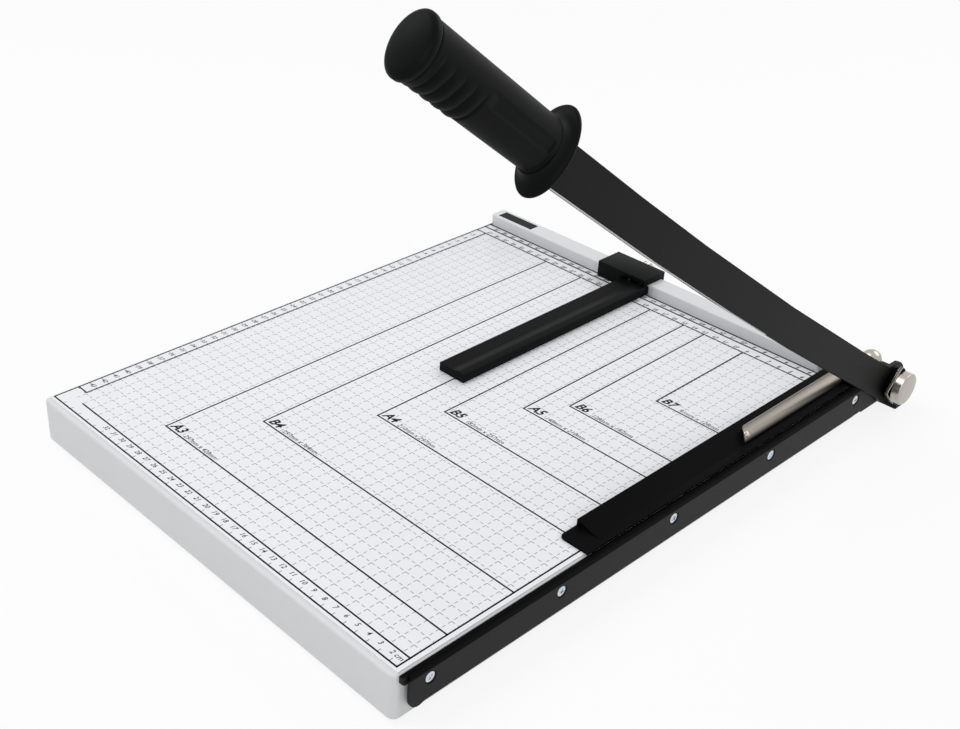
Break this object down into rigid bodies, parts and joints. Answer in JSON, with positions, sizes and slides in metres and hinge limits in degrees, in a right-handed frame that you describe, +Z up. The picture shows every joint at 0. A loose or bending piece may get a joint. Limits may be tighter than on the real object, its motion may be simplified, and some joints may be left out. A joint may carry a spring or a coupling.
{
  "type": "guillotine paper cutter",
  "caption": "Desk guillotine paper cutter: steel board with printed sizes, hinged blade arm with grip, side bar, sprung paper guard and sliding gauge.",
  "frame": {"origin": "on the table, under the middle of the whole object's box with the blade arm raised as in the picture", "axes": "+Z up, +Y towards the fence and the blade's pivot, +X towards the cutting bar"},
  "size_m": [0.4006, 0.552, 0.4117],
  "materials": {
    "pale_paint": "light grey powder coat",
    "black_paint": "satin black powder coat",
    "black_plastic": "moulded, fine texture",
    "printed_vinyl": "white film with a black and grey printed grid",
    "nickel": "satin nickel plate",
    "spring_steel": "satin",
    "mild_steel": "zinc coated",
    "bright_zinc": "bright zinc plate",
    "bronze": "sintered",
    "rubber": "moulded"
  },
  "bodies": {
    "base": {"base_pan": "pale_paint", "return_frame": "pale_paint", "printed_sheet": "printed_vinyl", "cross_rib_front": "mild_steel", "cross_rib_rear": "mild_steel", "tapped_strip": "mild_steel", "fence": "pale_paint", "fence_screw_left": "bright_zinc", "fence_screw_right": "bright_zinc", "cutting_bar": "black_paint", "lower_blade": "black_paint", "hinge_bracket": "black_paint", "bracket_screw_left": "bright_zinc", "bracket_screw_right": "bright_zinc", "heel_plate": "black_paint", "dome_nut": "nickel", "pivot_bolt": "nickel", "pivot_collar": "black_paint", "lock_plate": "spring_steel", "spring_seat_outer": "nickel", "spring_seat_inner": "nickel", "pivot_spring": "spring_steel", "pivot_nut": "nickel", "bar_screw_1": "bright_zinc", "bar_screw_2": "bright_zinc", "bar_screw_3": "bright_zinc", "bar_screw_4": "bright_zinc", "bar_screw_5": "bright_zinc", "bar_spacer_1": "mild_steel", "bar_spacer_2": "mild_steel", "bar_spacer_3": "mild_steel", "bar_spacer_4": "mild_steel", "bar_spacer_5": "mild_steel", "foot_front_left": "rubber", "foot_front_right": "rubber", "foot_rear_left": "rubber", "foot_rear_right": "rubber"},
    "blade_lever": {"blade_arm": "black_paint", "pivot_bush": "bronze", "hand_guard": "black_plastic", "grip": "black_plastic", "grip_cap": "black_plastic", "grip_pin_front": "bright_zinc", "grip_pin_rear": "bright_zinc"},
    "guard": {"paper_guard": "black_paint", "leaf_spring": "spring_steel", "leaf_rivet": "nickel", "guard_pin": "nickel"},
    "gauge": {"gauge_head": "black_plastic", "gauge_arm": "black_plastic", "gauge_screw_left": "bright_zinc", "gauge_screw_right": "bright_zinc"},
    "clamp_knob": {"thumbscrew": "nickel"}
  },
  "joints": [
    {"name": "blade_swing", "type": "hinge", "parent": "base", "child": "blade_lever", "pos_m": [0.1849, 0.25851, 0.0245], "axis": [-1, 0, 0], "range_deg": [-34.5, 30]},
    {"name": "guard_lift", "type": "hinge", "parent": "base", "child": "guard", "pos_m": [0.1732, 0.21082, 0.0394], "axis": [-1, 0, 0], "range_deg": [0, 2], "stiffness_Nm_per_rad": 1, "springref_deg": -11.46},
    {"name": "gauge_slide", "type": "slide", "parent": "base", "child": "gauge", "axis": [1, 0, 0], "range_m": [-0.13, 0.16]},
    {"name": "thumbscrew_turn", "type": "hinge", "parent": "gauge", "child": "clamp_knob", "pos_m": [-0.0363, 0.23492, 0.0435], "axis": [0, 1, 0], "range_deg": [-360, 0]}
  ]
}
